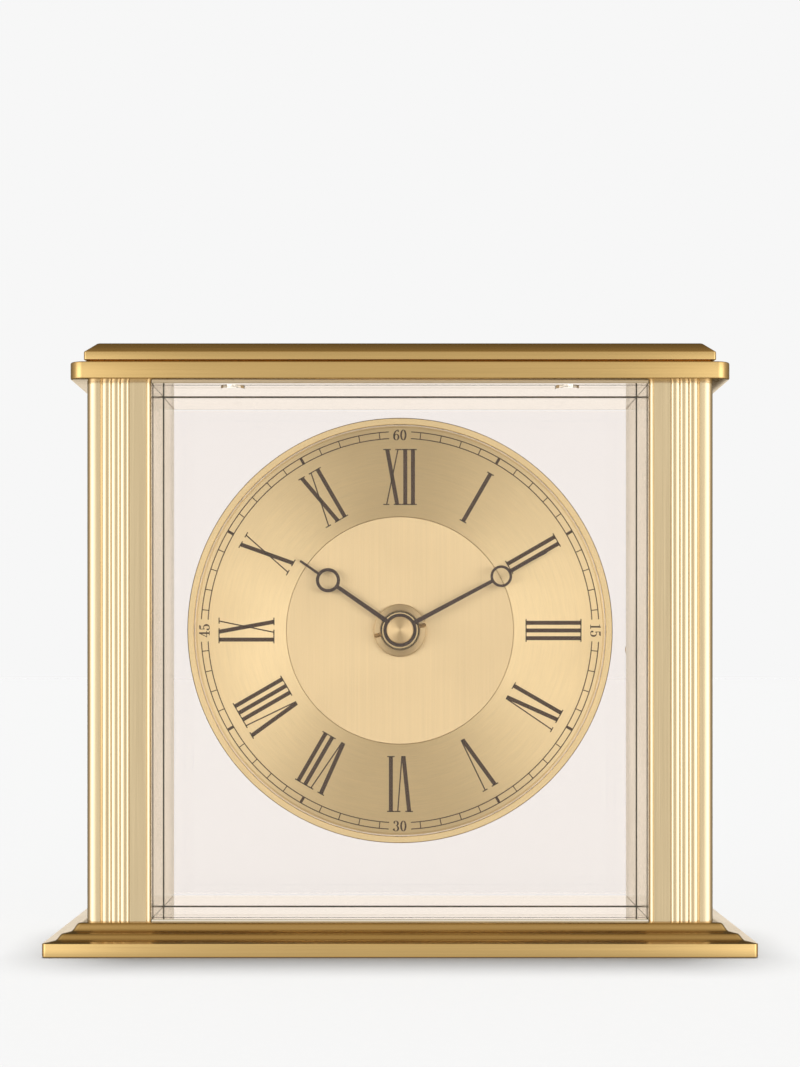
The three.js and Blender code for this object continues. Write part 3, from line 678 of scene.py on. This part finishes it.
def letter(kind, height):
    """The blocks that one Roman letter is made of, each a convex outline."""
    width = LETTER_WIDTH[kind]
    thick, thin, serif = FIGURE["thick"], FIGURE["thin"], FIGURE["serif"]

    def bar(left, right, low):
        return [(left, low), (right, low), (right, low + serif), (left, low + serif)]

    def stroke(top, bottom, weight, low=0.0):
        half = weight / 2
        return [(bottom - half, low), (bottom + half, low), (top + half, height), (top - half, height)]

    if kind == "I":
        return [stroke(width / 2, width / 2, thick), bar(0, width, 0), bar(0, width, height - serif)]
    if kind == "V":
        apex = width * 0.56
        return [stroke(0.95, apex - 0.18, thick * 1.02), stroke(width - 0.75, apex + 0.22, thin * 1.1),
                bar(0, 1.95, height - serif), bar(width - 1.45, width, height - serif)]
    return [stroke(1.0, width - 1.05, thick * 1.02), stroke(width - 0.85, 0.85, thin * 1.1),
            bar(0, 1.95, height - serif), bar(width - 1.55, width, height - serif),
            bar(0, 1.55, 0), bar(width - 1.95, width, 0)]


def make_figures(m):
    bm = bmesh.new()
    foot = FIGURE["foot"]
    height = FIGURE["top"] - foot
    gap = 0.06
    for hour, figure in enumerate(FIGURES):
        at = on_dial(30 * hour)
        total = sum(LETTER_WIDTH[k] for k in figure) + gap * (len(figure) - 1)
        left = -total / 2
        for kind in figure:
            for outline in letter(kind, height):
                placed = [(left + u, foot + v) for u, v in outline]
                prism(bm, placed, RING_FRONT - PRINT, RING_FRONT + PRINT_ROOT, at)
            left += LETTER_WIDTH[kind] + gap
    put("hour_figures", bm, m["ink"], "case")


def pen(bm, points, thick, thin, place, front, rear, looped=False):
    """A pen stroke along points: thick where it runs up or down, and thin where it runs across."""
    count = len(points)
    rows = []
    for i, (u, v) in enumerate(points):
        before = points[(i - 1) % count] if looped or i else points[0]
        after = points[(i + 1) % count] if looped or i < count - 1 else points[-1]
        along = Vector((after[0] - before[0], after[1] - before[1])).normalized()
        half = (thin + (thick - thin) * abs(along.y) ** 2.2) / 2
        side = Vector((-along.y, along.x)) * half
        rows.append([bm.verts.new(place(u + sign * side.x, v + sign * side.y, depth))
                     for sign, depth in ((1, front), (-1, front), (-1, rear), (1, rear))])
    join_rows(bm, rows, looped)


def oval(cx, cy, rx, ry, start=0, end=360, steps=28):
    return [(cx + rx * math.cos(math.radians(start + (end - start) * i / steps)),
             cy + ry * math.sin(math.radians(start + (end - start) * i / steps))) for i in range(steps + 1)]


STROKE = 0.17
THIN_STROKE = 0.06


def digit(kind):
    """One digit in a box one unit high: pen strokes with their widths, solid outlines, and round ends."""
    if kind == "0":
        return [(oval(0.31, 0.5, 0.215, 0.475), STROKE)], [], []
    if kind == "1":
        return [], [[(0.24, 0), (0.4, 0), (0.4, 1), (0.33, 1), (0.24, 0.9)],
                    [(0.12, 0), (0.52, 0), (0.52, 0.06), (0.12, 0.06)],
                    [(0.1, 0.84), (0.24, 0.86), (0.24, 0.92), (0.1, 0.88)]], []
    if kind == "3":
        return ([(oval(0.28, 0.75, 0.19, 0.225, 160, -80), STROKE),
                 (oval(0.27, 0.28, 0.23, 0.255, 85, -165), STROKE)],
                [], [(0.13, 0.8, 0.075), (0.1, 0.2, 0.08)])
    if kind == "4":
        return [], [[(0.34, 0), (0.5, 0), (0.5, 1), (0.34, 1)],
                    [(0.22, 0), (0.62, 0), (0.62, 0.05), (0.22, 0.05)],
                    [(0.02, 0.26), (0.64, 0.26), (0.64, 0.32), (0.02, 0.32)],
                    [(0.02, 0.28), (0.1, 0.28), (0.44, 1), (0.38, 1)]], []
    if kind == "5":
        return ([([(0.13, 0.95), (0.13, 0.75), (0.13, 0.5)], THIN_STROKE),
                 (oval(0.28, 0.31, 0.235, 0.28, 135, -160), STROKE)],
                [[(0.11, 0.85), (0.44, 0.85), (0.52, 1), (0.11, 0.98)]], [(0.1, 0.22, 0.08)])
    return ([(oval(0.32, 0.3, 0.21, 0.275), STROKE), (oval(0.52, 0.42, 0.41, 0.55, 190, 88, 20), STROKE)],
            [], [(0.5, 0.86, 0.075)])


DIGIT_HEIGHT = 2.75
DIGIT_STEP = 1.86
TRACK = {"inner": 50.2, "outer": 51.95, "line": 0.24, "gap": 3.25}


def write_digits(bm, text, place, front, rear):
    """A two-figure number, centred across and up."""
    size = DIGIT_HEIGHT
    for i, kind in enumerate(text):
        left = (i - 1) * DIGIT_STEP + 0.02
        strokes, solids, dots = digit(kind)

        def put_at(u, v, w, left=left):
            return place(left + u * size, (v - 0.5) * size, w)

        for points, thick in strokes:
            looped = math.dist(points[0], points[-1]) < 1e-9
            pen(bm, points[:-1] if looped else points, thick, 0.055, put_at, front, rear, looped)
        for outline in solids:
            prism(bm, outline, front, rear, put_at)
        for u, v, radius in dots:
            prism(bm, oval(u, v, radius, radius, steps=12)[:-1], front, rear, put_at)


def make_track(m):
    front, rear = RING_FRONT - PRINT, RING_FRONT + PRINT_ROOT
    bm = bmesh.new()
    for quarter in range(4):
        at = on_dial(90 * quarter)
        for radius in (TRACK["inner"], TRACK["outer"]):
            half = TRACK["line"] / 2
            steps = 84
            arc_length = 90 - 2 * TRACK["gap"]
            span = [math.radians(TRACK["gap"] + arc_length * i / steps) for i in range(steps + 1)]
            rows = []
            for a in span:
                rows.append([bm.verts.new(at(r * math.sin(a), r * math.cos(a), w))
                             for r, w in ((radius - half, front), (radius + half, front),
                                          (radius + half, rear), (radius - half, rear))])
            join_rows(bm, rows)
    for minute in range(60):
        if minute % 15 == 0:
            continue
        half = 0.36 if minute % 5 == 0 else 0.12
        inner, outer = TRACK["inner"], TRACK["outer"]
        outline = [(-half, inner), (half, inner), (half, outer), (-half, outer)]
        prism(bm, outline, front, rear, on_dial(6 * minute))
    put("minute_track", bm, m["ink"], "case")

    middle = (TRACK["inner"] + TRACK["outer"]) / 2
    bm = bmesh.new()
    for text, turn, sign in (("60", 0, 1), ("15", 90, 1), ("30", 180, -1), ("45", 270, 1)):
        at = on_dial(turn)
        write_digits(bm, text, lambda u, v, w, s=sign, at=at: at(s * u, middle + s * v, w), front, rear)
    put("minute_digits", bm, m["ink"], "case")


# ---- Hands ----

def hand_outline(hub, root, neck, ring_at, ring_radius, needle, point, tip):
    """One closed outline: the hub, the stem, the outside of the ring, and the needle past it."""
    across_hub = math.degrees(math.asin(root / hub))
    across_neck = math.degrees(math.asin(neck / ring_radius))
    across_needle = math.degrees(math.asin(needle / ring_radius))
    outline = arc(0, 0, hub, 90 + across_hub, 450 - across_hub, 48)
    outline += arc(0, ring_at, ring_radius, -90 + across_neck, 90 - across_needle, 24)
    outline += [(point, tip), (-point, tip)]
    outline += arc(0, ring_at, ring_radius, 90 + across_needle, 270 - across_neck, 24)
    return outline


def hand_angle(node):
    """The clock angle of a hand's tip: the point of its node that is furthest from the axis."""
    points = [v.co / MM - Vector((0, 0, CENTRE_Z)) for v in frame["nodes"][node].data.vertices]
    tip = max(points, key=lambda p: p.x * p.x + p.z * p.z)
    return math.degrees(math.atan2(tip.x, tip.z))


def make_hand(m, name, node, body, hub, bore, shape):
    low, high = box_mm(node)
    holes = [arc(0, 0, bore, 0, 337.5, 15), arc(0, shape["ring_at"], shape.pop("ring_hole"), 0, 352.5, 47)]
    at = on_dial(hand_angle(node))
    bm = bmesh.new()
    slab_of(bm, [hand_outline(hub, **shape)] + holes, lambda u, v, w: at(u, v, low.y + w), high.y - low.y)
    put(name, bm, m["hands"], body, [node], bevel=0.08)


def make_hands(m):
    make_hand(m, "hour_hand_fine", "hour_hand", "hour_group", 3.9, 2.36, {
        "root": 0.6, "neck": 0.5, "ring_at": 22.8, "ring_radius": 3.15, "ring_hole": 2.32,
        "needle": 0.34, "point": 0.3, "tip": 31.6})
    make_hand(m, "minute_hand_fine", "minute_hand", "minute_group", 4.3, 1.06, {
        "root": 0.58, "neck": 0.46, "ring_at": 29.7, "ring_radius": 2.8, "ring_hole": 2.14,
        "needle": 0.3, "point": 0.26, "tip": 43})
    low, high = box_mm("hand_cap")
    radius = high.x
    profile = [(0, low.y), (radius - 0.5, low.y), (radius - 0.15, low.y + 0.15), (radius, low.y + 0.5),
               (radius, high.y - 0.15), (radius - 0.15, high.y), (1.25, high.y),
               (1.25, high.y - 1.3), (0, high.y - 1.3)]
    bm = turned(bmesh.new(), profile, 96)
    put("hand_cap_fine", bm, m["spun"], "minute_group", ["hand_cap"])


# ---- Panes and liners ----

def make_panes(m):
    for node, body in (("front_glass", "case"), ("rear_glass", "rear_door")):
        low, high = box_mm(node)
        bm = block(bmesh.new(), low, high)
        put(node + "_pane", bm, m["glass"], body, [node], bevel=0.06)
    low, high = box_mm("dial_glass")
    bm = bmesh.new()
    outline = [(low.x, low.z), (high.x, low.z), (high.x, high.z), (low.x, high.z)]
    hole = [(u, v + CENTRE_Z) for u, v in arc(0, 0, 5, 0, 352.5, 47)]
    slab_of(bm, [outline, hole], lambda u, v, w: (u, low.y + w, v), high.y - low.y)
    put("dial_glass_pane", bm, m["glass"], "case", ["dial_glass"])


def make_liners(m):
    for node in ("front_ceiling_liner", "front_floor_liner", "rear_ceiling_liner", "rear_floor_liner"):
        low, high = box_mm(node)
        inward = -1 if "ceiling" in node else 1
        back, face = (high.z, low.z) if inward < 0 else (low.z, high.z)
        line = [(low.y, back), (low.y, face - inward * 0.1), (low.y + 0.1, face)]
        if node.startswith("front"):
            line += [(-16.25, face), (-16, face - inward * 0.35), (-15.75, face)]
        line += [(high.y - 0.1, face), (high.y, face - inward * 0.1), (high.y, back)]
        bm = bmesh.new()
        slab_of(bm, [line], lambda u, v, w: (low.x + w, u, v), high.x - low.x)
        put(node + "_fine", bm, m["nickel"], "case", [node])


# ---- The movement, its battery and its knob ----

CASE_LOW, CASE_HIGH = box_mm("movement_case")
COVER_BACK_LOW, COVER_BACK_HIGH = box_mm("movement_rear_cover")


def make_movement(m):
    bm = from_cad("movement_case")
    latch = {"half": 3.5, "out": 0.35, "depth": 2.6}
    for side in (-1, 1):
        wall = CASE_HIGH.x * side
        near, far = sorted((wall - side, wall + side * latch["out"]))
        for height in (-2.0, 18.0):
            block(bm, (near, CASE_HIGH.y - latch["depth"], CENTRE_Z + height - latch["half"]),
                  (far, CASE_HIGH.y - 0.3, CENTRE_Z + height + latch["half"]))
    put("movement_case_fine", bm, m["black"], "case", ["movement_case"],
        bevel=0.35, segments=3)

    back = COVER_BACK_HIGH.y
    put("movement_cover_fine", from_cad("movement_rear_cover"), m["black"], "case",
        ["movement_rear_cover"], bevel=0.35, segments=3)
    bm = bmesh.new()
    for rib in range(4):
        z = COVER_BACK_HIGH.z - 4.5 - 2.2 * rib
        left, right = COVER_BACK_LOW.x + 6, COVER_BACK_HIGH.x - 6
        block(bm, (left, back - 0.2, z - 0.45), (right, back + 0.35, z + 0.45))
    put("cover_ribs", bm, m["black"], "case", bevel=0.2)
    x, z = SETTING_AXIS[0], SETTING_AXIS[2]
    bm = turned(bmesh.new(), closed([
        (6.2, back - 0.2), (6.2, back + 0.25), (6.4, back + 0.4), (6.9, back + 0.4), (7.1, back + 0.25),
        (7.1, back - 0.2)]), 72, x, z)
    put("cover_ring", bm, m["black"], "case")


def make_setting_knob(m):
    x, z = SETTING_AXIS[0], SETTING_AXIS[2]
    rear, front, radius = KNOB_HIGH.y, KNOB_LOW.y, (KNOB_HIGH.x - KNOB_LOW.x) / 2
    bm = turned(bmesh.new(), [
        (0, rear - 0.35), (radius - 1.5, rear - 0.35), (radius - 1.2, rear), (radius - 0.5, rear),
        (radius, rear - 0.45), (radius, front + 0.2), (radius - 0.2, front), (1.2, front), (1.2, rear - 0.9),
        (0, rear - 0.9)], 144, x, z)
    knurl(bm, 36, 0.045, radius - 0.3, x, z)
    put("setting_knob_fine", bm, m["black"], "setting_group", ["setting_knob"], angle=40)


def make_battery(m):
    low, high = box_mm("battery")
    radius = (high.z - low.z) / 2
    end = high.x - 1
    middle = ((low.y + high.y) / 2, (low.z + high.z) / 2)

    def lay(profile, name, material, replaces=()):
        bm = turned(bmesh.new(), profile, 64, 0, 0)
        bmesh.ops.rotate(bm, verts=bm.verts, cent=(0, 0, 0), matrix=Matrix.Rotation(-math.pi / 2, 3, "Z"))
        bmesh.ops.translate(bm, verts=bm.verts, vec=(0, *middle))
        put(name, bm, material, "case", replaces)

    lay(closed([
        (radius - 0.8, low.x + 0.05), (radius - 0.3, low.x), (radius, low.x + 0.4), (radius, end - 0.4),
        (radius - 0.3, end), (radius - 0.8, end - 0.05)]),
        "battery_wrap_fine", m["wrap"], ["battery"])
    lay([(0, low.x + 0.1), (radius - 0.7, low.x + 0.1), (radius - 0.6, low.x + 0.3),
         (radius - 0.6, end - 0.4), (radius - 1, end - 0.15), (2.9, end - 0.15), (2.7, end),
         (2.7, high.x - 0.2), (2.5, high.x), (0, high.x)],
        "battery_ends", m["steel"])


# ---- The rear door's fittings ----

def make_door_fittings(m):
    for node in ("top_door_hinge", "bottom_door_hinge"):
        put(node + "_fine", from_cad(node), m["knob"], "rear_door", [node],
            bevel=0.45, segments=3)
        low, high = box_mm(node)
        x, z = high.x - 3.2, (low.z + high.z) / 2 + (-0.9 if node.startswith("top") else 0.9)
        bm = turned(bmesh.new(), closed([
            (0.01, high.y - 0.2), (1.7, high.y - 0.2), (1.7, high.y + 0.2), (1.3, high.y + 0.5),
            (0.01, high.y + 0.6)]), 48, x, z)
        head = put(node + "_screw", bm, m["knob"], "rear_door")
        cutter = block(bmesh.new(), (x - 2, high.y + 0.25, z - 0.2), (x + 2, high.y + 1, z + 0.2))
        carve(head, cutter)

    low, high = box_mm("door_knob")
    x, z, radius = (low.x + high.x) / 2, (low.z + high.z) / 2, (high.x - low.x) / 2
    bm = turned(bmesh.new(), [
        (0, high.y), (radius * 0.45, high.y - 0.08), (radius * 0.8, high.y - 0.45), (radius, high.y - 1.2),
        (radius * 0.9, high.y - 1.9), (radius * 0.55, high.y - 2.6), (radius * 0.42, high.y - 3.4),
        (radius * 0.5, low.y + 0.9), (radius * 0.85, low.y + 0.6), (radius * 0.85, low.y), (0, low.y)],
        64, x, z)
    put("door_knob_fine", bm, m["knob"], "rear_door", ["door_knob"], angle=50)


# ---- Light, floor and surroundings ----

def ramp(tree, value, stops):
    """A smooth curve through (place, level) stops. Levels may be over 1."""
    peak = max(level for _, level in stops)
    node = add(tree, "ShaderNodeValToRGB", {"Fac": value})
    curve = node.color_ramp
    curve.interpolation = "EASE"
    while len(curve.elements) < len(stops):
        curve.elements.new(0.5)
    for element, (place, level) in zip(curve.elements, stops):
        element.position = place
        element.color = (level / peak, level / peak, level / peak, 1)
    return math_of(tree, "MULTIPLY", node.outputs["Color"], peak)


BACKDROP = 0.93  # how bright the background looks, and the floor with it
FLOOR_GLOW = 0.05  # the floor's own light
FLOOR_TONE = 0.3  # the share of light that the floor gives back
WORLD_LIGHT = 0.45  # the light that comes from all round
SUN_TILT = math.radians(6.2)
SUN_SPREAD = math.radians(14.6)
REACH = 8.0


def make_floor():
    mesh = bpy.data.meshes.new("floor")
    corners = [(x * REACH, y * REACH, 0) for x, y in ((-1, -1), (1, -1), (1, 1), (-1, 1))]
    mesh.from_pydata(corners, [], [(0, 1, 2, 3)])
    floor = bpy.data.objects.new("floor", mesh)
    bpy.context.collection.objects.link(floor)
    floor.visible_glossy = False
    material, tree, shader = new_material("pale_floor")
    grain = noise(tree, place_of(tree), scale=400, detail=3)
    clouded(tree, shader, grain, scaled((1, 1, 1), FLOOR_TONE * 0.99), scaled((1, 1, 1), FLOOR_TONE * 1.01))
    shader.inputs["Roughness"].default_value = 0.9
    shader.inputs["Specular IOR Level"].default_value = 0
    shader.inputs["Emission Color"].default_value = (1, 1, 1, 1)
    shader.inputs["Emission Strength"].default_value = FLOOR_GLOW
    mesh.materials.append(material)


def make_surroundings():
    """Even light for matt things. Shiny ones see a warm room, a lamp at each side and a screen behind."""
    scene = bpy.context.scene
    scene.view_settings.view_transform = "Standard"
    world = bpy.data.worlds.new("studio")
    scene.world = world
    world.use_nodes = True
    tree = world.node_tree
    tree.nodes.clear()
    direction = add(tree, "ShaderNodeTexCoord").outputs["Generated"]
    parts = add(tree, "ShaderNodeSeparateXYZ", {0: direction}).outputs
    depth = spread(tree, parts["Y"], 0.0, 1.0, -1.0, 1.0)
    sideways = math_of(tree, "ABSOLUTE", parts["X"])
    level = math_of(tree, "ABSOLUTE", parts["Z"])
    room = ramp(tree, depth, [(0.0, 0.85), (0.2, 0.66), (0.5, 0.33), (0.7, 0.22), (0.88, 0.1), (1.0, 0.1)])
    lamps = ramp(tree, sideways, [
        (0.0, 0.0), (0.2, 0.05), (0.34, 1.2), (0.5, 1.9), (0.74, 1.7), (0.88, 0.7), (1.0, 0.3)])
    reach_back = ramp(tree, depth, [(0.0, 1.0), (0.5, 1.0), (0.62, 0.45), (0.8, 0.12), (1.0, 0.0)])
    reach_up = ramp(tree, level, [(0.0, 1.0), (0.18, 0.97), (0.5, 0.45), (0.9, 0.2), (1.0, 0.15)])
    sides = math_of(tree, "MULTIPLY", math_of(tree, "MULTIPLY", lamps, reach_back), reach_up)
    behind = ramp(tree, depth, [(0.0, 0.0), (0.945, 0.0), (0.97, 0.95), (1.0, 0.95)])
    low_down = ramp(tree, level, [(0.0, 1.0), (0.2, 1.0), (0.27, 0.0), (1.0, 0.0)])
    screen = math_of(tree, "MULTIPLY", behind, low_down)
    deeper = spread(tree, depth, 0.0, 1.0, 0.08, 0.4)
    tint = blend_of(tree, deeper, (1.0, 0.93, 0.78, 1), (1.0, 0.76, 0.42, 1))
    warm = vector_of(tree, "SCALE", {0: tint, "Scale": room})[0]
    white = vector_of(tree, "SCALE", {0: (1.0, 0.99, 0.96), "Scale": math_of(tree, "ADD", sides, screen)})[0]
    colour = vector_of(tree, "ADD", {0: warm, 1: white})[0]
    shiny = add(tree, "ShaderNodeBackground", {"Color": colour, "Strength": 1.0})
    matt = add(tree, "ShaderNodeBackground", {"Color": (1, 1, 1, 1), "Strength": WORLD_LIGHT})
    seen = add(tree, "ShaderNodeBackground", {"Color": (1, 1, 1, 1), "Strength": BACKDROP})
    path = add(tree, "ShaderNodeLightPath").outputs
    lit = add(tree, "ShaderNodeMixShader",
              {0: path["Is Diffuse Ray"], 1: shiny.outputs[0], 2: matt.outputs[0]})
    mixed = add(tree, "ShaderNodeMixShader",
                {0: path["Is Camera Ray"], 1: lit.outputs[0], 2: seen.outputs[0]})
    output = add(tree, "ShaderNodeOutputWorld")
    tree.links.new(mixed.outputs[0], output.inputs["Surface"])


def make_lamp():
    """One soft light overhead and a little behind, which brings the floor up to the backdrop's brightness."""
    data = bpy.data.lights.new("overhead", "SUN")
    missing = BACKDROP - FLOOR_GLOW - FLOOR_TONE * WORLD_LIGHT
    data.energy = missing * math.pi / FLOOR_TONE / math.cos(SUN_TILT)
    data.angle = SUN_SPREAD
    lamp = bpy.data.objects.new("overhead", data)
    lamp.rotation_euler = (-SUN_TILT, 0, 0)
    lamp.visible_glossy = False
    bpy.context.collection.objects.link(lamp)


# ---- The rest of the CAD pieces, with finer materials ----

RODS = [f"tie_rod_{end}_{side}" for end in ("front", "rear") for side in ("left", "right")]
CARRIED = {
    "steel": ["base_cover", "dial_backplate", "stator", "rotor", "catch_plate", "catch_magnet"] + RODS,
    "nickel": ["positive_contact", "negative_contact", "quartz_crystal", "cap_screw_left", "cap_screw_right"],
    "bright": ["centre_bush", "centre_wheel", "hour_wheel"],
    "white": ["minute_wheel", "third_wheel", "seconds_wheel"],
    "felt": ["felt_pad"],
    "rubber": ["rubber_washer"],
    "board": ["circuit_board"],
    "copper": ["coil"],
}


def dress_carried(m):
    for key, nodes in CARRIED.items():
        for node in nodes:
            mesh = frame["nodes"][node].data
            mesh.materials.clear()
            mesh.materials.append(m[key])
            shade(mesh)


make_camera()
materials = make_materials()
make_base(materials)
make_top(materials)
make_pillars(materials)
make_dial(materials)
make_figures(materials)
make_track(materials)
make_hands(materials)
make_panes(materials)
make_liners(materials)
make_movement(materials)
make_setting_knob(materials)
make_battery(materials)
make_door_fittings(materials)
dress_carried(materials)
make_floor()
make_surroundings()
make_lamp()
